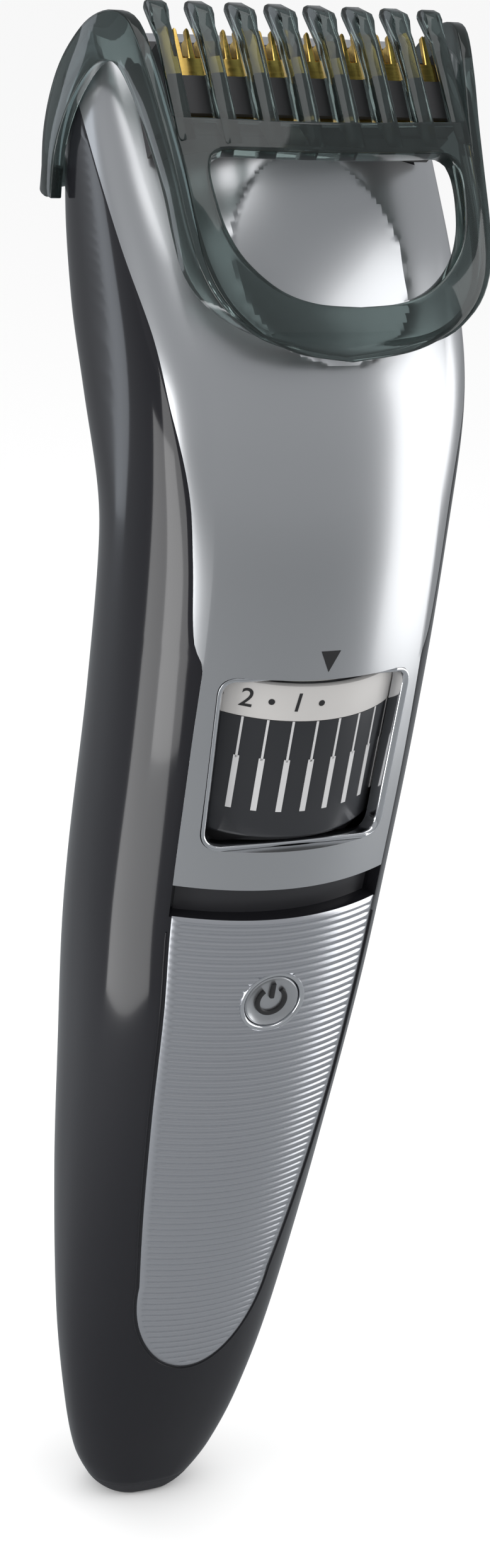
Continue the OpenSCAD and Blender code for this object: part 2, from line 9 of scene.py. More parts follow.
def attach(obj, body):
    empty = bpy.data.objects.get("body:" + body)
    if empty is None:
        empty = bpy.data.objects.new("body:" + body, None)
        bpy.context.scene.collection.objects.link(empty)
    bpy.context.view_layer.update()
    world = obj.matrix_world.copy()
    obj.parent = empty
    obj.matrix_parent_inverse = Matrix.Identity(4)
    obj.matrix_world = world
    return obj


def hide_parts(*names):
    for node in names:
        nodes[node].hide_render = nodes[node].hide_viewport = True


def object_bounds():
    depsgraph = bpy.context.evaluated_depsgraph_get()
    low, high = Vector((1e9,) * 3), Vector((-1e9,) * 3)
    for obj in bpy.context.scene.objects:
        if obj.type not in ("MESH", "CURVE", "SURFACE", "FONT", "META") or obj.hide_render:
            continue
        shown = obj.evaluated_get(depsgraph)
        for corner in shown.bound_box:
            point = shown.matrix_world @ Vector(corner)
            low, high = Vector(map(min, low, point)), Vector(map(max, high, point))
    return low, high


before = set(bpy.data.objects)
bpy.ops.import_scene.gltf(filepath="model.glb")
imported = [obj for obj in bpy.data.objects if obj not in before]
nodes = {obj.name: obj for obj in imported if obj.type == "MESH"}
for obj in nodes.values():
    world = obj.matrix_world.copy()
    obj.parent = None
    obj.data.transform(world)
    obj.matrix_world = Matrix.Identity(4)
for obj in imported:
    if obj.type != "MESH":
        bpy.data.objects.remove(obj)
cad_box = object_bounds()
MM = 0.001

# ---------------------------------------------------------------- camera
CAMERA_AZIMUTH, CAMERA_ELEVATION, CAMERA_ROLL = -26.95, 24.58, 6.99
CAMERA_PLACE = Vector((-122.0, -246.7, 218.0)) * MM
CAMERA_LENS = 65.1


def make_camera():
    """Camera to the front and left, above the part."""
    az, el, roll = (math.radians(v) for v in (CAMERA_AZIMUTH, CAMERA_ELEVATION, CAMERA_ROLL))
    back = Vector((math.sin(az) * math.cos(el), -math.cos(az) * math.cos(el), math.sin(el)))
    right = (-back).cross(Vector((0, 0, 1))).normalized()
    up = right.cross(-back)
    x_axis = math.cos(roll) * right + math.sin(roll) * up
    y_axis = -math.sin(roll) * right + math.cos(roll) * up
    data = bpy.data.cameras.new("camera")
    data.sensor_width = 36
    data.lens = CAMERA_LENS
    data.clip_start, data.clip_end = 0.01, 20
    camera = bpy.data.objects.new("camera", data)
    turn = Matrix((x_axis, y_axis, back)).transposed().to_4x4()
    camera.matrix_world = Matrix.Translation(CAMERA_PLACE) @ turn
    bpy.context.scene.collection.objects.link(camera)
    bpy.context.scene.camera = camera


make_camera()

# ---------------------------------------------------------------- lights, floor and room
FLOOR_REACH, FLOOR_GAP = 4.0, 0.0001


def softbox(name, place, target, size, strength, colour=(1, 1, 1)):
    """Rectangular light of even brightness, aimed at a target."""
    data = bpy.data.lights.new(name, "AREA")
    data.shape = "RECTANGLE"
    data.size, data.size_y = (s * MM for s in size)
    data.energy = strength * math.pi * data.size * data.size_y
    data.color = colour
    lamp = bpy.data.objects.new(name, data)
    lamp.location = Vector(place) * MM
    aim = (Vector(target) - Vector(place)).normalized()
    lamp.rotation_mode = "QUATERNION"
    lamp.rotation_quaternion = aim.to_track_quat("-Z", "Y")
    lamp.visible_camera = False
    bpy.context.scene.collection.objects.link(lamp)


def make_lights():
    softbox("right_softbox", (230, -90, 110), (0, -10, 90), (150, 300), 1.9)
    softbox("left_softbox", (-215, -35, 70), (0, -10, 110), (95, 170), 3.2)
    softbox("low_left_softbox", (-125, 5, 35), (0, 0, 100), (90, 150), 3.0)
    softbox("back_strip", (-150, 260, 140), (0, 0, 90), (50, 300), 1.0, (0.86, 0.92, 1.0))
    softbox("top_softbox", (-30, -40, 420), (0, -10, 100), (260, 260), 1.6)


def show_and_mirror(tree, output, kind, seen, mirrored):
    """One shader as it is seen, and a darker one as polished surfaces mirror it."""
    tree.nodes.clear()
    out = tree.nodes.new(output)
    mixer = tree.nodes.new("ShaderNodeMixShader")
    path = tree.nodes.new("ShaderNodeLightPath")
    tree.links.new(path.outputs["Is Glossy Ray"], mixer.inputs["Fac"])
    for socket, values in zip(mixer.inputs[1:], (seen, mirrored)):
        shader = tree.nodes.new(kind)
        for label, value in values.items():
            shader.inputs[label].default_value = value
        tree.links.new(shader.outputs[0], socket)
    tree.links.new(mixer.outputs[0], out.inputs["Surface"])


def make_room():
    """White surroundings that polished surfaces mirror as a dim room."""
    world = bpy.data.worlds.new("studio_room")
    bpy.context.scene.world = world
    world.use_nodes = True
    show_and_mirror(world.node_tree, "ShaderNodeOutputWorld", "ShaderNodeBackground",
                    {"Color": (1, 1, 1, 1), "Strength": 1.0},
                    {"Color": (0.93, 0.96, 1, 1), "Strength": 0.36})


def make_floor():
    """Pale floor just under the part."""
    mesh = bpy.data.meshes.new("floor")
    reach = FLOOR_REACH
    corners = [(-reach, -reach, 0), (reach, -reach, 0), (reach, reach, 0), (-reach, reach, 0)]
    mesh.from_pydata(corners, [], [(0, 1, 2, 3)])
    floor = bpy.data.objects.new("floor", mesh)
    floor.location = (0, 0, cad_box[0].z - FLOOR_GAP)
    bpy.context.scene.collection.objects.link(floor)
    material = bpy.data.materials.new("pale_floor")
    material.use_nodes = True
    show_and_mirror(material.node_tree, "ShaderNodeOutputMaterial", "ShaderNodeBsdfDiffuse",
                    {"Color": (0.93, 0.93, 0.93, 1)}, {"Color": (0.22, 0.23, 0.24, 1)})
    mesh.materials.append(material)


make_room()
make_lights()
make_floor()
bpy.context.scene.view_settings.view_transform = "Standard"

# ---------------------------------------------------------------- shared shader groups


def new_group(name, inputs, outputs):
    """Shader node group with named sockets: inputs are (name, kind, value), outputs (name, kind)."""
    group = bpy.data.node_groups.new(name, "ShaderNodeTree")
    for label, kind, value in inputs:
        socket = group.interface.new_socket(label, in_out="INPUT", socket_type=kind)
        socket.default_value = value
    for label, kind in outputs:
        group.interface.new_socket(label, in_out="OUTPUT", socket_type=kind)
    return group, group.nodes.new("NodeGroupInput"), group.nodes.new("NodeGroupOutput")


def math_node(tree, kind, first, second):
    node = tree.nodes.new("ShaderNodeMath")
    node.operation = kind
    for socket, value in zip(node.inputs, (first, second)):
        if isinstance(value, (int, float)):
            socket.default_value = value
        else:
            tree.links.new(value, socket)
    return node.outputs[0]


def make_surface_variation():
    """Slow drift of tone and gloss, as in any sprayed or moulded surface."""
    group, into, out = new_group(
        "surface_variation",
        [("Base Color", "NodeSocketColor", (0.5, 0.5, 0.5, 1)), ("Tone Drift", "NodeSocketFloat", 0.05),
         ("Roughness", "NodeSocketFloat", 0.4), ("Roughness Drift", "NodeSocketFloat", 0.05),
         ("Scale", "NodeSocketFloat", 60.0)],
        [("Color", "NodeSocketColor"), ("Roughness", "NodeSocketFloat")])
    place = group.nodes.new("ShaderNodeTexCoord")
    noise = group.nodes.new("ShaderNodeTexNoise")
    noise.inputs["Detail"].default_value = 3
    group.links.new(place.outputs["Object"], noise.inputs["Vector"])
    group.links.new(into.outputs["Scale"], noise.inputs["Scale"])
    centred = math_node(group, "SUBTRACT", noise.outputs["Fac"], 0.5)
    tone = math_node(group, "MULTIPLY", centred, into.outputs["Tone Drift"])
    tone = math_node(group, "ADD", tone, 1.0)
    shade = group.nodes.new("ShaderNodeVectorMath")
    shade.operation = "SCALE"
    group.links.new(into.outputs["Base Color"], shade.inputs[0])
    group.links.new(tone, shade.inputs["Scale"])
    group.links.new(shade.outputs[0], out.inputs["Color"])
    gloss = math_node(group, "MULTIPLY", centred, into.outputs["Roughness Drift"])
    gloss = math_node(group, "ADD", gloss, into.outputs["Roughness"])
    group.links.new(gloss, out.inputs["Roughness"])
    return group


def make_fine_grain():
    """Height of a fine even grain: spray texture, spark-eroded mould grain or orange peel."""
    group, into, out = new_group(
        "fine_grain",
        [("Scale", "NodeSocketFloat", 4000.0), ("Softness", "NodeSocketFloat", 0.5),
         ("Depth", "NodeSocketFloat", 1.0)],
        [("Height", "NodeSocketFloat")])
    place = group.nodes.new("ShaderNodeTexCoord")
    noise = group.nodes.new("ShaderNodeTexNoise")
    noise.inputs["Detail"].default_value = 2
    group.links.new(place.outputs["Object"], noise.inputs["Vector"])
    group.links.new(into.outputs["Scale"], noise.inputs["Scale"])
    group.links.new(into.outputs["Softness"], noise.inputs["Roughness"])
    height = math_node(group, "MULTIPLY", noise.outputs["Fac"], into.outputs["Depth"])
    group.links.new(height, out.inputs["Height"])
    return group


def make_drawn_lines():
    """Fine lines of drawn, ground or turned metal along one direction."""
    group, into, out = new_group(
        "drawn_lines",
        [("Stretch", "NodeSocketVector", (400.0, 4000.0, 4000.0)), ("Roughness", "NodeSocketFloat", 0.3),
         ("Contrast", "NodeSocketFloat", 0.2), ("Depth", "NodeSocketFloat", 1.0)],
        [("Roughness", "NodeSocketFloat"), ("Height", "NodeSocketFloat")])
    place = group.nodes.new("ShaderNodeTexCoord")
    stretch = group.nodes.new("ShaderNodeVectorMath")
    stretch.operation = "MULTIPLY"
    group.links.new(place.outputs["Object"], stretch.inputs[0])
    group.links.new(into.outputs["Stretch"], stretch.inputs[1])
    noise = group.nodes.new("ShaderNodeTexNoise")
    noise.inputs["Scale"].default_value = 1.0
    noise.inputs["Detail"].default_value = 4
    group.links.new(stretch.outputs[0], noise.inputs["Vector"])
    centred = math_node(group, "SUBTRACT", noise.outputs["Fac"], 0.5)
    spread = math_node(group, "MULTIPLY", centred, into.outputs["Contrast"])
    group.links.new(math_node(group, "ADD", spread, into.outputs["Roughness"]), out.inputs["Roughness"])
    group.links.new(math_node(group, "MULTIPLY", centred, into.outputs["Depth"]), out.inputs["Height"])
    return group


surface_variation = make_surface_variation()
fine_grain = make_fine_grain()
drawn_lines = make_drawn_lines()

# ---------------------------------------------------------------- materials
GRAIN_DEPTH, LINE_DEPTH = 0.00002, 0.00001


def place_group(tree, group, **values):
    node = tree.nodes.new("ShaderNodeGroup")
    node.node_tree = group
    for label, value in values.items():
        node.inputs[label.replace("_", " ")].default_value = value
    return node


def new_material(name, colour, roughness, drift=0.06, gloss_drift=0.05, scale=60.0, **fixed):
    """Principled material whose colour and gloss drift slowly; fixed sets the shader's own sockets."""
    material = bpy.data.materials.new(name)
    material.use_nodes = True
    tree = material.node_tree
    shader = tree.nodes["Principled BSDF"]
    variation = place_group(tree, surface_variation, Base_Color=(*colour, 1), Tone_Drift=drift,
                            Roughness=roughness, Roughness_Drift=gloss_drift, Scale=scale)
    tree.links.new(variation.outputs["Color"], shader.inputs["Base Color"])
    tree.links.new(variation.outputs["Roughness"], shader.inputs["Roughness"])
    for label, value in fixed.items():
        shader.inputs[label.replace("_", " ")].default_value = value
    return material


def add_bump(material, height, strength, distance):
    tree = material.node_tree
    bump = tree.nodes.new("ShaderNodeBump")
    bump.inputs["Strength"].default_value = strength
    bump.inputs["Distance"].default_value = distance
    tree.links.new(height, bump.inputs["Height"])
    tree.links.new(bump.outputs["Normal"], tree.nodes["Principled BSDF"].inputs["Normal"])


def grained(material, scale, softness, strength):
    """Adds a fine even grain to a material."""
    grain = place_group(material.node_tree, fine_grain, Scale=scale, Softness=softness)
    add_bump(material, grain.outputs["Height"], strength, GRAIN_DEPTH)
    return material


def drawn(material, stretch, roughness, contrast, strength):
    """Adds drawn lines to a metal; stretch sets how fine they are along each axis."""
    tree = material.node_tree
    lines = place_group(tree, drawn_lines, Stretch=stretch, Roughness=roughness, Contrast=contrast)
    tree.links.new(lines.outputs["Roughness"], tree.nodes["Principled BSDF"].inputs["Roughness"])
    add_bump(material, lines.outputs["Height"], strength, LINE_DEPTH)
    return material


def moulded(name, colour, roughness, strength=0.25):
    """Plastic with the grain of its mould."""
    return grained(new_material(name, colour, roughness, scale=120.0), 5000.0, 0.6, strength)


silver_lacquer = grained(
    new_material("silver_lacquer", (0.60, 0.61, 0.625), 0.30, 0.03, 0.03, 40.0, Metallic=0.92,
                 Coat_Weight=0.35, Coat_Roughness=0.08), 9000.0, 0.5, 0.10)
ridge_silver = grained(
    new_material("ridge_silver", (0.62, 0.63, 0.66), 0.26, 0.04, 0.05, 50.0, Metallic=0.95),
    9000.0, 0.5, 0.10)
black_gloss = grained(
    new_material("black_gloss", (0.010, 0.010, 0.012), 0.10, 0.3, 0.03, 30.0, Coat_Weight=0.2,
                 Coat_Roughness=0.05, Specular_IOR_Level=0.3), 400.0, 0.4, 0.04)
satin_black = moulded("satin_black", (0.022, 0.022, 0.025), 0.34, 0.15)
matte_black = moulded("matte_black", (0.028, 0.028, 0.030), 0.50)
wheel_black = moulded("wheel_black", (0.020, 0.021, 0.024), 0.30, 0.12)
polished_rim = new_material("polished_rim", (0.86, 0.87, 0.89), 0.10, 0.02, 0.04, 80.0, Metallic=1.0)
ring_grey = moulded("ring_grey", (0.44, 0.43, 0.42), 0.38, 0.12)
ink_black = moulded("ink_black", (0.016, 0.016, 0.017), 0.42, 0.12)
inlay_grey = moulded("inlay_grey", (0.47, 0.47, 0.475), 0.36, 0.12)
smoke_comb = new_material("smoke_comb", (0.125, 0.16, 0.155), 0.045, 0.08, 0.03, 50.0,
                          Transmission_Weight=0.92, IOR=1.46)
gold_coat = drawn(
    new_material("gold_coat", (0.86, 0.58, 0.16), 0.22, 0.15, 0.1, 300.0, Metallic=1.0),
    (300.0, 3500.0, 3500.0), 0.20, 0.25, 0.25)
bright_steel = drawn(
    new_material("bright_steel", (0.62, 0.63, 0.65), 0.25, 0.05, 0.1, 200.0, Metallic=1.0),
    (3000.0, 3000.0, 300.0), 0.26, 0.2, 0.2)
motor_steel = drawn(
    new_material("motor_steel", (0.50, 0.51, 0.53), 0.3, 0.08, 0.1, 150.0, Metallic=1.0),
    (500.0, 500.0, 6000.0), 0.32, 0.2, 0.2)
dark_moulding = moulded("dark_moulding", (0.030, 0.030, 0.033), 0.45)
white_moulding = moulded("white_moulding", (0.78, 0.78, 0.75), 0.42)
board_green = grained(
    new_material("board_green", (0.02, 0.16, 0.07), 0.28, 0.4, 0.1, 500.0), 2500.0, 0.6, 0.3)
cell_wrap = new_material("cell_wrap", (0.05, 0.22, 0.12), 0.22, 0.15, 0.08, 90.0, Coat_Weight=0.4)
seal_rubber = moulded("seal_rubber", (0.035, 0.035, 0.035), 0.65, 0.4)

CAD_FINISH = {
    "back_shell": black_gloss, "front_housing": silver_lacquer, "grip_panel": ridge_silver,
    "waist_band": satin_black, "dial_bezel": polished_rim, "power_button": silver_lacquer,
    "button_switch": dark_moulding, "circuit_board": board_green, "battery_cell": cell_wrap,
    "battery_contacts": bright_steel, "charging_socket": dark_moulding, "socket_pins": bright_steel,
    "bottom_cap": satin_black, "motor_can": motor_steel, "motor_mount": dark_moulding,
    "motor_shaft": bright_steel, "eccentric_pin": white_moulding, "drive_lever": white_moulding,
    "lever_axle": bright_steel, "lever_bracket": dark_moulding, "housing_screw": bright_steel,
    "zoom_wheel": wheel_black, "climbing_track": white_moulding, "number_ring": ring_grey,
    "wheel_inlays": inlay_grey, "comb_carriage": dark_moulding, "detent_spring": bright_steel,
    "hair_comb": smoke_comb, "fixed_blade": gold_coat, "moving_blade": gold_coat,
    "blade_holder": matte_black, "blade_springs": bright_steel, "head_seal": seal_rubber}


def finish_cad_nodes():
    """Gives every CAD shape the finish of its part."""
    for name, node in nodes.items():
        node.data.materials.clear()
        node.data.materials.append(CAD_FINISH[name])


finish_cad_nodes()

# ---------------------------------------------------------------- mesh helpers
# Stands for the axis itself in a turned profile
AXIS_R = 0.001
EDGE_ANGLE = 50


def new_piece(name, points, faces, material, body=None, replaces=(), smooth=35, merge=0.0):
    """Mesh from points in millimetres; it rides on a body unless it is only a cutter or a section."""
    mesh = bpy.data.meshes.new(name)
    mesh.from_pydata([(p[0] * MM, p[1] * MM, p[2] * MM) for p in points], [], faces)
    if merge:
        shape = bmesh.new()
        shape.from_mesh(mesh)
        bmesh.ops.remove_doubles(shape, verts=shape.verts, dist=merge * MM)
        bmesh.ops.dissolve_degenerate(shape, edges=shape.edges, dist=merge * MM)
        shape.to_mesh(mesh)
        shape.free()
    piece = bpy.data.objects.new(name, mesh)
    bpy.context.scene.collection.objects.link(piece)
    mesh.materials.append(material)
    soften(piece, smooth)
    if body:
        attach(piece, body)
    if replaces:
        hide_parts(*replaces)
    return piece


def soften(piece, angle):
    """Smooth shading, with edges sharper than the angle kept crisp."""
    piece.data.shade_smooth()
    piece.data.set_sharp_from_angle(angle=math.radians(angle))


def settle(piece, smooth=35):
    """Makes the piece's modifiers part of its mesh."""
    bpy.context.view_layer.update()
    graph = bpy.context.evaluated_depsgraph_get()
    mesh = bpy.data.meshes.new_from_object(piece.evaluated_get(graph))
    old = piece.data
    piece.modifiers.clear()
    piece.data = mesh
    bpy.data.meshes.remove(old)
    soften(piece, smooth)


def thicken(piece, depth):
    """Gives a skin its wall, inwards from the surface."""
    modifier = piece.modifiers.new("wall", "SOLIDIFY")
    modifier.thickness = depth * MM
    modifier.offset = -1
    modifier.use_even_offset = False
    settle(piece)


def round_edges(piece, width, steps=2):
    """Rounds the edges that turn by more than the edge angle."""
    modifier = piece.modifiers.new("edges", "BEVEL")
    modifier.width = width * MM
    modifier.segments = steps
    modifier.limit_method = "ANGLE"
    modifier.angle_limit = math.radians(EDGE_ANGLE)
    modifier.use_clamp_overlap = True
    settle(piece)


def cut(piece, cutter, smooth=35):
    """Cuts the cutter out of the piece and removes the cutter."""
    modifier = piece.modifiers.new("cut", "BOOLEAN")
    modifier.operation = "DIFFERENCE"
    modifier.object = cutter
    modifier.solver = "MANIFOLD"
    settle(piece, smooth)
    mesh = cutter.data
    bpy.data.objects.remove(cutter)
    bpy.data.meshes.remove(mesh)


def join_pieces(name, pieces):
    """Puts the meshes of several sections into one piece."""
    shape = bmesh.new()
    for piece in pieces:
        shape.from_mesh(piece.data)
    shape.to_mesh(pieces[0].data)
    shape.free()
    for piece in pieces[1:]:
        bpy.data.objects.remove(piece)
    pieces[0].name = name
    return pieces[0]


def flipped(faces):
    return [f[::-1] for f in faces]


def grid_faces(rows, columns, closed=False):
    faces = []
    for i in range(rows - 1):
        for j in range(columns if closed else columns - 1):
            k = (j + 1) % columns
            faces.append((i * columns + j, i * columns + k, (i + 1) * columns + k, (i + 1) * columns + j))
    return faces


def loft(rings):
    """Points and faces through closed rings, with flat ends."""
    n = len(rings[0])
    points = [p for ring in rings for p in ring]
    faces = grid_faces(len(rings), n, closed=True)
    faces.append(tuple(range(n - 1, -1, -1)))
    faces.append(tuple(range((len(rings) - 1) * n, len(rings) * n)))
    return points, faces


def lathe(profile, segments):
    """Ring from a closed profile of radius and height, turned about Z."""
    points = []
    for i in range(segments):
        a = 2 * math.pi * i / segments
        points += [(r * math.cos(a), r * math.sin(a), z) for r, z in profile]
    n = len(profile)
    faces = []
    for i in range(segments):
        for j in range(n):
            k, m = (j + 1) % n, (i + 1) % segments
            faces.append((i * n + j, m * n + j, m * n + k, i * n + k))
    return points, faces


def moved(points, matrix):
    return [tuple(matrix @ Vector(p)) for p in points]


def bore_cutter(name, radius, start, end, place, segments):
    """Cylinder along the local Z of a place."""
    points, faces = lathe([(AXIS_R, start), (radius, start), (radius, end), (AXIS_R, end)], segments)
    return new_piece(name, moved(points, place), faces, satin_black, merge=0.003)


def prism(outline, low, high, placing):
    """Closed prism: placing turns an outline point and a depth into a place."""
    points = [placing(p, low) for p in outline] + [placing(p, high) for p in outline]
    n = len(outline)
    faces = [tuple(range(n - 1, -1, -1)), tuple(range(n, 2 * n))]
    faces += [(j, (j + 1) % n, n + (j + 1) % n, n + j) for j in range(n)]
    return points, faces


def curve_through(knots, value, column=1):
    """Smooth curve through knots of (position, ...): the column's value at a position."""
    i = 0
    while i < len(knots) - 2 and value >= knots[i + 1][0]:
        i += 1
    h = knots[i + 1][0] - knots[i][0]
    u = (value - knots[i][0]) / h

    def slope(k):
        a, b = max(k - 1, 0), min(k + 1, len(knots) - 1)
        return (knots[b][column] - knots[a][column]) / (knots[b][0] - knots[a][0])

    return ((2 * u**3 - 3 * u * u + 1) * knots[i][column] + (u**3 - 2 * u * u + u) * h * slope(i)
            + (3 * u * u - 2 * u**3) * knots[i + 1][column] + (u**3 - u * u) * h * slope(i + 1))


def rounded_path(corners, radius, steps=8):
    """Closed outline with its corners rounded; corners run anticlockwise."""
    path = []
    n = len(corners)
    for i, corner in enumerate(corners):
        here = Vector(corner)
        before = (Vector(corners[i - 1]) - here).normalized()
        after = (Vector(corners[(i + 1) % n]) - here).normalized()
        half = before.angle(after) / 2
        reach = radius / math.tan(half)
        start, end = here + before * reach, here + after * reach
        for k in range(steps + 1):
            t = k / steps
            path.append(((1 - t)**2 * start + 2 * t * (1 - t) * here + t * t * end).to_tuple())
    return path


def ramp(value, low, high):
    """Smooth step from 0 at low to 1 at high."""
    t = min(max((value - low) / (high - low), 0.0), 1.0)
    return t * t * (3 - 2 * t)


# ---------------------------------------------------------------- form of the handle
# Height, half width, front, back and half width of the front face
HANDLE = [
    (0, 4.8, -3.7, 3.6, 2.0), (2, 6.5, -4.6, 4.1, 2.4), (6, 8.5, -5.9, 4.3, 3.1), (14, 10.6, -8.1, 4.8, 4.5),
    (26, 12.6, -10.7, 6.5, 6.6), (44, 14.1, -14.3, 9.9, 9.0), (60, 14.9, -17.0, 12.2, 10.4),
    (74, 15.8, -18.8, 12.7, 11.1), (85, 16.3, -19.6, 11.9, 11.7), (104, 16.6, -21.1, 10.3, 12.0),
    (122, 17.0, -21.6, 10.2, 11.9), (134, 17.5, -19.9, 13.0, 12.4), (142, 17.8, -17.4, 16.6, 13.1),
    (150, 18.0, -11.9, 18.9, 14.0), (158, 18.0, -4.6, 19.1, 15.0), (163, 17.7, -0.1, 17.8, 15.4),
    (168, 16.6, 4.5, 12.5, 15.2)]
# Height and depth of the seam between the silver housing and the black shell
SEAM = [(114, -18.3), (116, -17.6), (124, -16.8), (131, -15.6), (137.5, -13.2), (144, -9.2), (151, -1.6),
        (157.6, 6.4), (164.0, 15.0)]
FRONT_RADIUS = 22.0
SIDE_POWER = 2.3
# The section grows squarer towards the head, between two heights
HEAD_SQUARE, SQUARE_FROM, SQUARE_TO = 1.8, 116, 148
SHELL_BOTTOM, SHELL_TOP = 2.2, 165.2
PANEL_BOTTOM, PANEL_TOP = 23.0, 85.7
HOUSING_BOTTOM, BODY_TOP = 89.3, 168.0
# Where the rings change their spacing, below the curve of the head
HEAD_FROM = 140
WALL = 1.2
RECESS_DEPTH, BAND_DEPTH, BAND_INSET = 2.0, 1.75, 0.9
BUTTON_Z, BUTTON_R = 75.6, 3.0
PANEL_HOLE_R, SHELL_HOLE_R, SOCKET_HOLE_R = 3.62, 3.75, 2.72
# Thumb dish: a ball sunk into the face, with the face's outward direction as depth and height
DISH_RADIUS, DISH_Z, DISH_DEPTH = 26.0, 151.5, 3.0
DISH_OUT_Y, DISH_OUT_Z = -0.74, 0.67
WINDOW_TOP, WINDOW_BOTTOM, WINDOW_HALF, WINDOW_CORNER = 112.6, 94.3, 10.0, 1.6
# Room between the window's edge and the rim that sits in it
WINDOW_GAP = 0.5
# Slots in the back of the shell for the comb carriage's tabs
SLOT_X, SLOT_HALF, SLOT_LOW, SLOT_HIGH = 9.5, 1.2, 150.4, 163.2
BLADE_FRAME = Matrix.Translation((0, 2.6, 170.2)) @ Matrix.Rotation(math.radians(-41), 4, "X")
DIAL_FRAME = Matrix.Translation((0, -6.2, 104)) @ Matrix.Rotation(math.radians(5), 4, "X")
BOX_FACES = [(3, 2, 1, 0), (4, 5, 6, 7), (0, 1, 5, 4), (1, 2, 6, 5), (2, 3, 7, 6), (3, 0, 4, 7)]


def front_y(z):
    return curve_through(HANDLE, z, 2)


def crease_x(z):
    return curve_through(HANDLE, z, 4)


def surface_y(x, z):
    """Depth of the crowned front face."""
    return front_y(z) + x * x / (2 * FRONT_RADIUS)


def signed_power(v, n):
    return math.copysign(abs(v) ** n, v)


def side_curve(z):
    """The curve round the side and back at one height: half width, half depth, middle, start angle, power."""
    xc = crease_x(z)
    yc = surface_y(xc, z)
    a = curve_through(HANDLE, z, 1)
    yb = curve_through(HANDLE, z, 3)
    n = SIDE_POWER + HEAD_SQUARE * math.sin(math.pi / 2 * ramp(z, SQUARE_FROM, SQUARE_TO)) ** 2
    k = (1 - (xc / a) ** n) ** (1 / n)
    b = (yb - yc) / (1 + k)
    start = -math.acos((xc / a) ** (n / 2))
    return a, b, yb - b, start, n


def side_point(z, g, curve):
    a, b, m, _, n = curve
    return (a * signed_power(math.cos(g), 2 / n), m + b * signed_power(math.sin(g), 2 / n), z)


def seam_angle(z, curve):
    """Where the seam crosses the side curve at one height."""
    _, b, m, start, n = curve
    if z < SEAM[0][0]:
        return start
    depth = curve_through(SEAM, z) if z < SEAM[-1][0] else SEAM[-1][1]
    w = min((depth - m) / b, 1.0)
    return max(start, math.asin(signed_power(w, n / 2)))


def dish_pushed(x, y, z):
    """A point of the front face, pushed back onto the thumb dish where it lies over it."""
    cy = front_y(DISH_Z) + DISH_OUT_Y * (DISH_RADIUS - DISH_DEPTH)
    cz = DISH_Z + DISH_OUT_Z * (DISH_RADIUS - DISH_DEPTH)
    inside = DISH_RADIUS**2 - x * x - (z - cz) ** 2
    if inside <= 0:
        return (x, y, z)
    return (x, max(y, cy + math.sqrt(inside)), z)


def even(low, high, count):
    return [low + (high - low) * i / (count - 1) for i in range(count)]


def make_front_housing():
    """Silver face from seam to seam, with the thumb dish, the dial window and the blades' pocket."""
    heights = even(HOUSING_BOTTOM, HEAD_FROM, 60) + even(HEAD_FROM + 0.5, BODY_TOP, 80)
    side, face = 18, 60
    points = []
    for z in heights:
        curve = side_curve(z)
        start, seam = curve[3], seam_angle(z, curve)
        left = [side_point(z, math.pi - g, curve) for g in even(seam, start, side)]
        xc = crease_x(z)
        front = [dish_pushed(x, surface_y(x, z), z) for x in even(-xc, xc, face)[1:-1]]
        right = [side_point(z, g, curve) for g in even(start, seam, side)]
        points += left + front + right
    columns = 2 * side + face - 2
    faces = grid_faces(len(heights), columns)
    last = (len(heights) - 1) * columns
    faces.append(tuple(range(last, last + columns)))
    housing = new_piece("housing_front", points, faces, silver_lacquer, "handle",
                        ["front_housing"], merge=0.004, smooth=14)
    thicken(housing, WALL)
    round_edges(housing, 0.22)
    cut(housing, window_cutter(), smooth=14)
    cut(housing, pocket_cutter(), smooth=14)


def window_outline(grow):
    """The dial window seen from the front, grown outwards by some room."""
    w, low, high = WINDOW_HALF + grow, WINDOW_BOTTOM - grow, WINDOW_TOP + grow
    return rounded_path([(-w + 0.4, low), (w - 0.4, low), (w, high), (-w, high)], WINDOW_CORNER + grow)


def window_cutter():
    points, faces = prism(window_outline(WINDOW_GAP), -40, -8, lambda p, d: (p[0], d, p[1]))
    return new_piece("window_cutter", points, flipped(faces), satin_black)


def box_corners(low, high):
    return [(x, y, z) for z in (low[2], high[2]) for x, y in
            ((low[0], low[1]), (high[0], low[1]), (high[0], high[1]), (low[0], high[1]))]


def pocket_cutter():
    """Room for the blade unit in the top of the head."""
    corners = box_corners((-15.3, -9, -10.6), (15.3, 5.85, 19.5))
    return new_piece("pocket_cutter", moved(corners, BLADE_FRAME), BOX_FACES, satin_black)


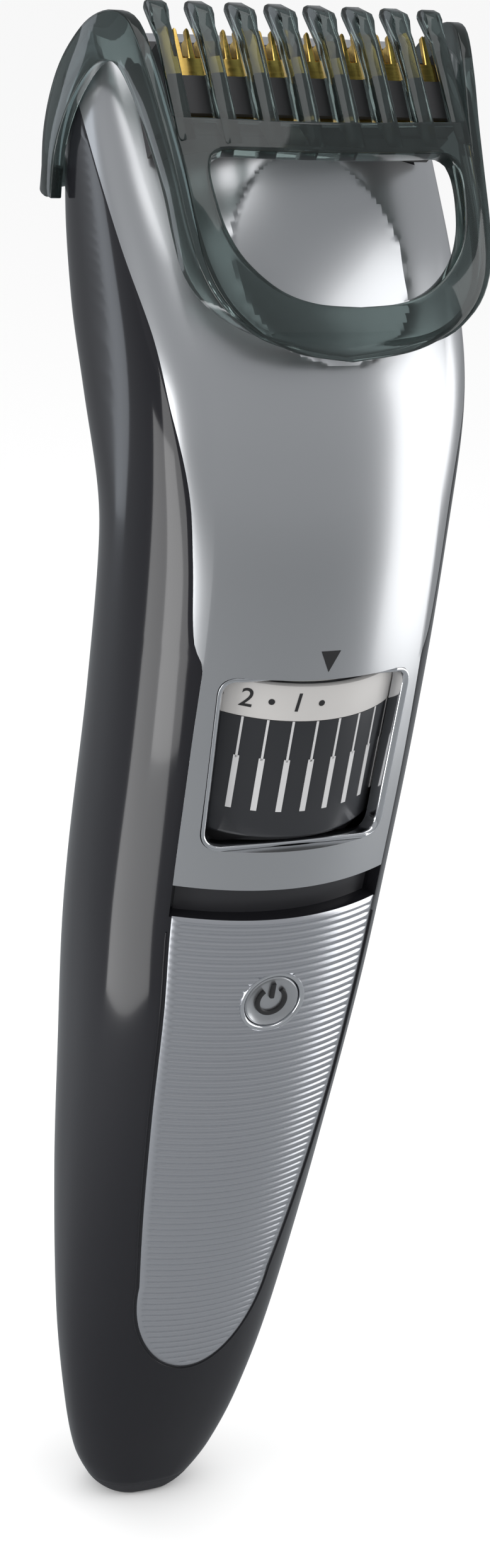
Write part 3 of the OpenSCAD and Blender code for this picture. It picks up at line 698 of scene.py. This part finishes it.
def make_back_shell():
    """Full rings up to the waist recess, then open rings behind the seam."""
    side, face = 110, 40
    low = (even(SHELL_BOTTOM, 30, 44) + even(30.6, PANEL_TOP - 0.15, 60)
           + [PANEL_TOP, PANEL_TOP + 0.15, HOUSING_BOTTOM - 0.5, HOUSING_BOTTOM])
    points = []
    for z in low:
        curve = side_curve(z)
        start = curve[3]
        recess = RECESS_DEPTH * ramp(z, PANEL_TOP - 0.1, PANEL_TOP + 0.1)
        xc = crease_x(z)
        inner = xc - 0.3 * recess
        front = [(x, surface_y(x, z) + recess, z) for x in even(-inner, inner, face)]
        around = [side_point(z, g, curve) for g in even(start, math.pi - start, side)]
        points += front + around
    columns = face + side
    faces = grid_faces(len(low), columns, closed=True)
    joint = (len(low) - 1) * columns
    high = even(HOUSING_BOTTOM, HEAD_FROM, 60)[1:] + even(HEAD_FROM + 0.5, SHELL_TOP, 50)
    top_points = []
    for z in high:
        curve = side_curve(z)
        seam = seam_angle(z, curve)
        top_points += [side_point(z, g, curve) for g in even(seam, math.pi - seam, side)]
    base = len(points)
    first_row = [joint + face + j for j in range(side)]
    for j in range(side - 1):
        faces.append((first_row[j], first_row[j + 1], base + j + 1, base + j))
    faces += [tuple(base + v for v in f) for f in grid_faces(len(high), side)]
    points += top_points
    shell = new_piece("shell_back", points, faces, black_gloss, "handle", ["back_shell"],
                      merge=0.004)
    thicken(shell, WALL)
    round_edges(shell, 0.15)
    cut(shell, bore_cutter("button_cutter", SHELL_HOLE_R, -3, 4, button_frame(), 64))
    for s in (-1, 1):
        corners = box_corners((s * SLOT_X - SLOT_HALF, 9, SLOT_LOW), (s * SLOT_X + SLOT_HALF, 29, SLOT_HIGH))
        cut(shell, new_piece("slot_cutter", corners, BOX_FACES, satin_black))


# ---------------------------------------------------------------- ridged grip panel
RIDGE_COUNT = 69
RIDGE_PITCH = (PANEL_TOP - 0.6 - (PANEL_BOTTOM + 2.0)) / RIDGE_COUNT
PANEL_PROUD, PANEL_SUNK, RIDGE_DEPTH = 0.34, 0.06, 0.20
# The panel's sides keep this far inside the crease, and its lower end is round below a height
PANEL_INSET, PANEL_ROUND_FROM = 0.25, 36.0
PANEL_WIDE = crease_x(PANEL_ROUND_FROM) - PANEL_INSET
PANEL_LOW = PANEL_ROUND_FROM - PANEL_BOTTOM
BEAD_GAP, BEAD_R = 0.34, 0.11


def panel_half(z):
    """Half width of the panel: parallel to the crease, with a round lower end."""
    if z >= PANEL_ROUND_FROM:
        return crease_x(z) - PANEL_INSET
    share = (PANEL_ROUND_FROM - z) / PANEL_LOW
    return PANEL_WIDE * math.sqrt(max(1 - share * share, 0.0))


def panel_edge_distance(x, z):
    """Roughly how far inside the panel's outline a place is."""
    side = panel_half(z) - abs(x)
    if z < PANEL_ROUND_FROM:
        reach = math.hypot(x / PANEL_WIDE, (PANEL_ROUND_FROM - z) / PANEL_LOW)
        side = (1 - reach) * 0.5 * (PANEL_WIDE + PANEL_LOW)
    return min(side, PANEL_TOP - z)


def ridge_height(z):
    """Rounded ridges: 1 on a crest and 0 in a groove."""
    f = ((z - PANEL_BOTTOM) / RIDGE_PITCH) % 1.0
    return 1 - (2 * f - 1) ** 2


def make_grip_panel():
    """Panel with a rounded edge and fine level ridges inside it."""
    per_ridge = 8
    rows = int((PANEL_TOP - PANEL_BOTTOM) / RIDGE_PITCH * per_ridge)
    columns = 56
    points = []
    for i in range(rows + 1):
        z = PANEL_BOTTOM + (PANEL_TOP - PANEL_BOTTOM) * i / rows
        half = panel_half(z)
        for j in range(columns):
            u = -math.cos(math.pi * j / (columns - 1))
            u = 0.35 * u + 0.65 * (2 * j / (columns - 1) - 1)
            x = u * half
            d = panel_edge_distance(x, z)
            proud = PANEL_PROUD * math.sqrt(ramp(d, -0.05, 0.55)) - PANEL_SUNK
            proud += RIDGE_DEPTH * (ridge_height(z) - 1) * ramp(d, 0.35, 0.75)
            points.append((x, surface_y(x, z) - proud, z))
    panel = new_piece("grip_panel_ridged", points, grid_faces(rows + 1, columns), ridge_silver, "handle",
                      ["grip_panel"], merge=0.002, smooth=80)
    thicken(panel, 0.5)
    soften(panel, 80)
    cut(panel, bore_cutter("button_cutter", PANEL_HOLE_R, -12, 4, button_frame(), 96), smooth=80)


def button_frame():
    """Local frame of the power button: its axis runs into the handle, square to the front."""
    tilt = math.atan2(front_y(BUTTON_Z - 1) - front_y(BUTTON_Z + 1), 2)
    return (Matrix.Translation((0, front_y(BUTTON_Z), BUTTON_Z)) @ Matrix.Rotation(tilt, 4, "X")
            @ Matrix.Rotation(math.radians(-90), 4, "X"))


def sweep(path, section, closed=True):
    """Points and faces of a section carried along a path of (place, outward, side) frames."""
    points = []
    for place, out, across in path:
        points += [tuple(Vector(place) + out * p[0] + across * p[1]) for p in section]
    n, m = len(section), len(path)
    faces = []
    for i in range(m if closed else m - 1):
        for j in range(n):
            k, r = (j + 1) % n, (i + 1) % m
            faces.append((i * n + j, r * n + j, r * n + k, i * n + k))
    if not closed:
        faces.append(tuple(range(n)))
        faces.append(tuple((m - 1) * n + j for j in range(n - 1, -1, -1)))
    return points, faces


def face_path(outline):
    """Frames along a closed outline drawn on the front face: place, outward and away from its middle."""
    path = []
    n = len(outline)
    for i, (x, z) in enumerate(outline):
        before, after = Vector(outline[i - 1]), Vector(outline[(i + 1) % n])
        along = (after - before).normalized()
        path.append(((x, surface_y(x, z), z), Vector((x / FRONT_RADIUS, -1, 0)).normalized(),
                     Vector((along.y, 0, -along.x))))
    return path


def circle_outline(radius, steps):
    return [(radius * math.cos(2 * math.pi * k / steps), radius * math.sin(2 * math.pi * k / steps))
            for k in range(steps)]


def make_panel_rim():
    """Fine bead in the shell round the foot of the panel."""
    heights = [PANEL_TOP - 1.0 - k for k in range(int(PANEL_TOP - 1.0 - PANEL_ROUND_FROM))]
    right = [(panel_half(z) + BEAD_GAP, z) for z in heights]
    wide, low = PANEL_WIDE + BEAD_GAP, PANEL_LOW + BEAD_GAP
    bow = [(wide * math.cos(a), PANEL_ROUND_FROM - low * math.sin(a))
           for a in (math.pi * k / 48 for k in range(49))]
    outline = right + bow + [(-x, z) for x, z in reversed(right)]
    points, faces = sweep(face_path(outline)[1:-1], circle_outline(BEAD_R, 8), closed=False)
    new_piece("panel_bead", points, faces, black_gloss, "handle", smooth=80)


def make_waist_band():
    """Dark band in the recess between the housing and the panel."""
    heights = even(PANEL_TOP - 0.6, HOUSING_BOTTOM + 0.8, 14)
    columns = 48
    points = []
    for z in heights:
        xc = crease_x(z) - BAND_INSET
        points += [(x, surface_y(x, z) + BAND_DEPTH, z) for x in even(-xc, xc, columns)]
    band = new_piece("waist_recess_band", points, grid_faces(len(heights), columns), satin_black, "handle",
                     ["waist_band"])
    thicken(band, 0.2)


def make_bezel():
    """Bright rim round the dial window."""
    section = [(-1.5, -0.02), (-0.35, -0.02), (-0.05, 0.04), (0.06, 0.14), (0.10, 0.30), (0.05, 0.46),
               (-0.12, 0.52), (-1.5, 0.52)]
    points, faces = sweep(face_path(window_outline(0)), section)
    new_piece("window_rim", points, faces, polished_rim, "handle", ["dial_bezel"], smooth=50)


def make_index_mark():
    """Printed triangle above the window that points down at the ring."""
    low, tall, half_wide, rows, across = 113.9, 2.25, 1.05, 7, 5
    points = []
    for u in even(0, 1, rows):
        z = low + tall * u
        points += [(x, surface_y(x, z) - 0.03, z) for x in even(-half_wide * u, half_wide * u, across)]
    new_piece("index_mark", points, grid_faces(rows, across), ink_black, "handle", merge=0.003)


# ---------------------------------------------------------------- power button


def make_power_button():
    """Dished cap in a bright ring, with the on-off sign as two raised strokes."""
    here, r = button_frame(), BUTTON_R
    profile = [(AXIS_R, 0.42), (1.2, 0.40), (2.2, 0.28), (2.62, 0.12), (2.85, 0.0), (r - 0.02, 0.06),
               (r + 0.05, 0.25), (r + 0.05, 2.0), (AXIS_R, 2.0)]
    points, faces = lathe(profile, 96)
    new_piece("power_button_cap", moved(points, here), faces, silver_lacquer, "button",
              ["power_button"], merge=0.003, smooth=50)
    ring = [(r + 0.12, 0.9), (r + 0.12, 0.05), (r + 0.2, -0.12), (r + 0.42, -0.2), (r + 0.62, -0.12),
            (r + 0.66, 0.1), (r + 0.66, 0.9)]
    points, faces = lathe(ring, 96)
    new_piece("power_button_ring", moved(points, here), flipped(faces), polished_rim, "handle",
              smooth=50)
    sign_r, gap_angle = 1.55, 38
    strokes = [[(sign_r * math.sin(a), sign_r * math.cos(a))
                for a in (math.radians(g) for g in even(gap_angle, 360 - gap_angle, 41))],
               [(0, 2.05), (0, 1.6), (0, 1.0), (0, 0.35)]]
    bead = [(-0.1, -0.26), (0.18, -0.24), (0.26, -0.14), (0.26, 0.14), (0.18, 0.24), (-0.1, 0.26)]
    for n, stroke in enumerate(strokes):
        path = []
        for i, (x, up) in enumerate(stroke):
            a, b = stroke[max(i - 1, 0)], stroke[min(i + 1, len(stroke) - 1)]
            along = Vector((b[0] - a[0], 0, b[1] - a[1])).normalized()
            path.append((Vector((x, -up, 0.30)), Vector((0, 0, -1)), Vector((along.z, along.x, 0))))
        points, faces = sweep(path, bead, closed=False)
        new_piece("power_mark_%d" % n, moved(points, here), faces, ink_black, "button",
                  smooth=40)


# ---------------------------------------------------------------- zoom wheel
# One half setting of the wheel, in degrees
STEP_DEG, STEPS = 10.3, 20
WHEEL_R = 14.2
RING_LOW, RING_HEIGHT = 5.6, 4.0
DOT_R, DIGIT_SIZE = 0.33, 2.9


def make_wheel():
    """Wheel sleeve with the light number ring let into its upper end."""
    top = RING_LOW + RING_HEIGHT
    profile = [(12.0, -8.0), (13.6, -8.0), (13.95, -7.85), (WHEEL_R, -7.4), (WHEEL_R, RING_LOW),
               (13.7, RING_LOW), (13.7, top - 0.1), (13.1, top - 0.1), (13.1, -5.4), (12.0, -5.4)]
    points, faces = lathe(profile, 192)
    new_piece("zoom_wheel_body", moved(points, DIAL_FRAME), faces, wheel_black, "wheel",
              ["zoom_wheel"], smooth=30)
    ring = [(13.72, RING_LOW + 0.02), (14.16, RING_LOW + 0.02), (14.28, RING_LOW + 0.12), (14.3, top - 0.35),
            (14.2, top - 0.1), (14.0, top), (13.72, top)]
    points, faces = lathe(ring, 192)
    new_piece("zoom_number_ring", moved(points, DIAL_FRAME), faces, ring_grey, "wheel",
              ["number_ring"], smooth=30)


def make_inlays():
    """Recessed light strips down the wheel, narrow above and wide below."""
    points, faces = [], []
    for i in range(-17, 18):
        turn = Matrix.Rotation(math.radians(i * STEP_DEG - 90), 4, "Z")
        for half, low, high in ((0.12, 1.0, RING_LOW), (0.30, -4.7, 1.25)):
            base = len(points)
            outline = [(-half, low), (half, low), (half, high), (-half, high)]
            shape, sides = prism(outline, WHEEL_R - 0.4, WHEEL_R + 0.05, lambda p, d: (d, p[0], p[1]))
            points += moved(shape, DIAL_FRAME @ turn)
            faces += [tuple(base + v for v in f) for f in sides]
    new_piece("zoom_wheel_inlays", points, faces, inlay_grey, "wheel", ["wheel_inlays"])


def flat_digits(number):
    """Outline points and faces of a number in slanted figures, in millimetres about its middle."""
    text = bpy.data.curves.new("digits", "FONT")
    text.body = str(number)
    text.size, text.shear, text.offset = DIGIT_SIZE, 0.12, 0.02
    text.align_x = text.align_y = "CENTER"
    holder = bpy.data.objects.new("digits", text)
    bpy.context.scene.collection.objects.link(holder)
    bpy.context.view_layer.update()
    graph = bpy.context.evaluated_depsgraph_get()
    flat = bpy.data.meshes.new_from_object(holder.evaluated_get(graph))
    outline = [(v.co.x, v.co.y) for v in flat.vertices]
    faces = [tuple(p.vertices) for p in flat.polygons]
    bpy.data.objects.remove(holder)
    bpy.data.curves.remove(text)
    bpy.data.meshes.remove(flat)
    return outline, faces


def make_marks():
    """Length numbers and half-step dots round the number ring."""
    radius = WHEEL_R + 0.12
    middle = RING_LOW + 0.52 * RING_HEIGHT
    for k in range(STEPS):
        a = math.radians(-k * STEP_DEG - 90)
        if k % 2:
            outline, faces = flat_digits((k + 1) // 2)
        else:
            outline, faces = circle_outline(DOT_R, 20), [tuple(range(20))]
        points = [(radius * math.cos(a + x / radius), radius * math.sin(a + x / radius), middle + y)
                  for x, y in outline]
        new_piece("length_mark_%02d" % k, moved(points, DIAL_FRAME), faces, ink_black, "wheel")


# ---------------------------------------------------------------- hair comb
# Height and depth of the face's middle line, then how far the face lies back at each half width
COMB_LINE = [(144.0, -18.3), (146.2, -19.4), (149.2, -18.9), (153, -17.1), (157.2, -14.4), (161, -11.3),
             (164.6, -8.0), (168.2, -4.6), (171.2, -1.6), (173.0, 1.4)]
COMB_CROWN = [(0, 0), (5, 0.2), (10, 0.8), (13.4, 1.6), (15.3, 2.4), (16.6, 3.3), (18.0, 4.8)]
# Half outlines seen from the front, as half width and height
COMB_OUTER_SIDE = [(0, 144.0), (5.5, 144.9), (9.0, 146.4), (11.6, 148.1), (13.6, 150.2), (14.8, 152.8),
                   (15.2, 156.0), (15.4, 160.0), (15.7, 164.2)]
COMB_OUTER_TOP = [(15.7, 164.2), (10, 164.4), (0, 164.4)]
COMB_WINDOW_SIDE = [(0, 149.6), (4.5, 149.9), (8.0, 151.0), (10.9, 153.2), (12.4, 155.6), (13.0, 158.2),
                    (13.1, 160.2), (12.7, 161.3)]
COMB_WINDOW_TOP = [(12.7, 161.3), (11.5, 161.9), (9.0, 161.95), (4.5, 161.95), (0, 161.95)]
COMB_TEETH, COMB_PITCH, TOOTH_WIDTH, PLATE_DEPTH = 8, 4.15, 1.75, 1.7
# Side arch as half width, depth and height, along its outer and its inner edge
ARCH_OUTER = [(4.5, -18.2, 144.9), (9.0, -18.4, 146.4), (11.6, -17.8, 148.1), (13.5, -16.7, 150.1),
              (14.8, -14.9, 152.9), (15.35, -12.6, 156.0), (15.7, -9.6, 160.0), (16.2, -6.2, 164.2),
              (16.8, -2.9, 168.2), (17.4, 0.6, 171.4), (18.0, 4.0, 171.7), (18.4, 8.0, 170.1),
              (18.6, 11.4, 167.4), (18.7, 14.0, 164.4), (18.7, 15.8, 161.0), (18.7, 16.6, 157.6),
              (18.7, 16.4, 154.6), (18.65, 15.8, 151.4)]
ARCH_INNER = [(4.5, -15.9, 144.95), (9.0, -16.0, 146.2), (11.8, -15.4, 147.4), (13.7, -14.0, 148.8),
              (15.0, -12.3, 150.8), (15.5, -10.2, 153.6), (15.8, -7.4, 157.4), (16.3, -3.8, 161.4),
              (16.9, -0.9, 164.6), (17.5, 2.0, 166.8), (18.0, 4.4, 166.9), (18.4, 6.4, 165.8),
              (18.6, 8.4, 163.9), (18.7, 10.4, 161.5), (18.7, 12.0, 158.9), (18.7, 13.0, 156.2),
              (18.7, 13.2, 153.8), (18.65, 13.2, 151.4)]
ARCH_HALF = 0.6
# Heel round the back of the shell, as half width and depth
HEEL_OUTER = [(19.25, 14.8), (18.9, 17.2), (17.2, 19.7), (13.8, 21.0), (7.6, 21.4)]
HEEL_INNER = [(18.05, 14.8), (17.8, 16.4), (16.3, 18.5), (13.0, 19.7), (7.6, 19.8)]
HEEL_LOW, HEEL_HIGH = 151.1, 154.3


def comb_y(x, z):
    """Depth of the comb's crowned face."""
    return curve_through(COMB_LINE, z) + curve_through(COMB_CROWN, min(abs(x), COMB_CROWN[-1][0]))


def spaced(knots, count):
    """Points evenly spaced along a smooth line through knots."""
    dense = []
    for i in range(len(knots) - 1):
        p0 = Vector(knots[max(i - 1, 0)])
        p1, p2 = Vector(knots[i]), Vector(knots[i + 1])
        p3 = Vector(knots[min(i + 2, len(knots) - 1)])
        for k in range(16):
            t = k / 16
            dense.append(0.5 * ((2 * p1) + (p2 - p0) * t + (2 * p0 - 5 * p1 + 4 * p2 - p3) * t * t
                                + (3 * p1 - p0 - 3 * p2 + p3) * t**3))
    dense.append(Vector(knots[-1]))
    lengths = [0.0]
    for a, b in zip(dense, dense[1:]):
        lengths.append(lengths[-1] + (b - a).length)
    out, i = [], 0
    for k in range(count):
        target = lengths[-1] * k / (count - 1)
        while i < len(dense) - 2 and lengths[i + 1] < target:
            i += 1
        span = max(lengths[i + 1] - lengths[i], 1e-9)
        out.append(dense[i].lerp(dense[i + 1], (target - lengths[i]) / span))
    return out


def mirrored(half):
    """Closed outline from the right half of one."""
    return half + [Vector((-p.x, p.y)) for p in reversed(half[1:-1])]


def comb_plate():
    """Frame of the comb round its window, as a crowned plate with rounded edges."""
    side, top, rows = 70, 21, 9
    outer = mirrored(spaced(COMB_OUTER_SIDE, side) + spaced(COMB_OUTER_TOP, top)[1:])
    inner = mirrored(spaced(COMB_WINDOW_SIDE, side) + spaced(COMB_WINDOW_TOP, top)[1:])
    points = []
    for t in even(0, 1, rows):
        places = [a.lerp(b, t) for a, b in zip(outer, inner)]
        points += [(p.x, comb_y(p.x, p.y), p.y) for p in places]
    faces = grid_faces(rows, len(outer), closed=True)
    plate = new_piece("comb_plate_part", points, faces, smoke_comb)
    thicken(plate, PLATE_DEPTH)
    round_edges(plate, 0.35, 3)
    return plate


def comb_tooth(x):
    """Thin fin that carries on from the plate and hooks over the blades."""
    front = [(comb_y(x, z) + 0.06, z) for z in even(162.3, 171.4, 15)]
    tip_y = front[-1][0]
    outline = front + [(tip_y + 0.5, 172.4), (tip_y + 1.2, 172.9), (3.0, 172.95), (3.6, 172.7), (3.7, 172.0),
                       (3.1, 171.6), (0.0, 169.8), (-2.5, 167.4), (-3.9, 165.8), (-6.5, 162.9)]
    points, faces = prism(outline, -TOOTH_WIDTH / 2, TOOTH_WIDTH / 2, lambda p, d: (x + d, p[0], p[1]))
    tooth = new_piece("comb_tooth_part", points, flipped(faces), smoke_comb)
    round_edges(tooth, 0.2, 2)
    return tooth


def comb_side(sign):
    """Skirt along the plate's edge that turns into the arch over the head and down to the carriage."""
    rings = []
    for a, b in zip(spaced(ARCH_OUTER, 70), spaced(ARCH_INNER, 70)):
        rings.append([(sign * (a.x - ARCH_HALF), a.y, a.z), (sign * (a.x + ARCH_HALF), a.y, a.z),
                      (sign * (b.x + ARCH_HALF), b.y, b.z), (sign * (b.x - ARCH_HALF), b.y, b.z)])
    points, faces = loft(rings)
    side = new_piece("comb_side_part", points, faces if sign > 0 else flipped(faces), smoke_comb)
    round_edges(side, 0.3, 3)
    return side


def comb_heel(sign):
    """Short bar from the arch's end round the back of the shell to the carriage's tab."""
    rings = []
    for a, b in zip(spaced(HEEL_OUTER, 24), spaced(HEEL_INNER, 24)):
        rings.append([(sign * a.x, a.y, HEEL_LOW), (sign * a.x, a.y, HEEL_HIGH),
                      (sign * b.x, b.y, HEEL_HIGH), (sign * b.x, b.y, HEEL_LOW)])
    points, faces = loft(rings)
    heel = new_piece("comb_heel_part", points, flipped(faces) if sign > 0 else faces, smoke_comb)
    round_edges(heel, 0.3, 2)
    return heel


def make_comb():
    """Plate, teeth, side arches and heels as one clear moulding."""
    parts = [comb_plate()]
    parts += [comb_tooth((k - (COMB_TEETH - 1) / 2) * COMB_PITCH) for k in range(COMB_TEETH)]
    for sign in (-1, 1):
        parts += [comb_side(sign), comb_heel(sign)]
    comb = join_pieces("smoke_hair_comb", parts)
    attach(comb, "comb")
    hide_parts("hair_comb")


# ---------------------------------------------------------------- blades and foot


def make_fixed_blade():
    """Toothed plate, drawn in the blade frame with its tooth tips at the origin's height."""
    teeth, width, length, root = 23, 29.0, 10, -3.1
    pitch = width / teeth
    outline = [(-width / 2, -length), (width / 2, -length), (width / 2, root)]
    for i in range(teeth - 1, -1, -1):
        x = (i - (teeth - 1) / 2) * pitch
        outline += [(x + pitch * 0.27, root), (x + pitch * 0.16, -0.25), (x + pitch * 0.08, 0),
                    (x - pitch * 0.08, 0), (x - pitch * 0.16, -0.25), (x - pitch * 0.27, root)]
    outline.append((-width / 2, root))
    points, faces = prism(outline, -0.6, 0.0, lambda p, d: (p[0], d, p[1]))
    blade = new_piece("fixed_blade_plate", moved(points, BLADE_FRAME), flipped(faces), gold_coat, "handle",
                      ["fixed_blade"])
    round_edges(blade, 0.08, 1)


def make_foot_cap():
    """Cap under the shell, rounded inwards at its lower edge, with the charging socket's hole."""
    rings = []
    for u in even(0, 1, 10):
        z = SHELL_BOTTOM * u
        curve = side_curve(z)
        pull = 0.55 * (1 - math.sqrt(1 - (1 - min(u * 1.6, 1)) ** 2))
        xc = crease_x(z)
        ring = [(x, surface_y(x, z), z) for x in even(-xc, xc, 16)]
        ring += [side_point(z, g, curve) for g in even(curve[3], math.pi - curve[3], 60)[1:-1]]
        rings.append([(x * (1 - pull / 6), y * (1 - pull / 6), z) for x, y, z in ring])
    points, faces = loft(rings)
    cap = new_piece("foot_cap", points, faces, satin_black, "handle", ["bottom_cap"])
    cut(cap, bore_cutter("socket_cutter", SOCKET_HOLE_R, -3, 5, Matrix(), 64))


make_front_housing()
make_back_shell()
make_grip_panel()
make_panel_rim()
make_waist_band()
make_bezel()
make_index_mark()
make_power_button()
make_wheel()
make_inlays()
make_marks()
make_comb()
make_fixed_blade()
make_foot_cap()
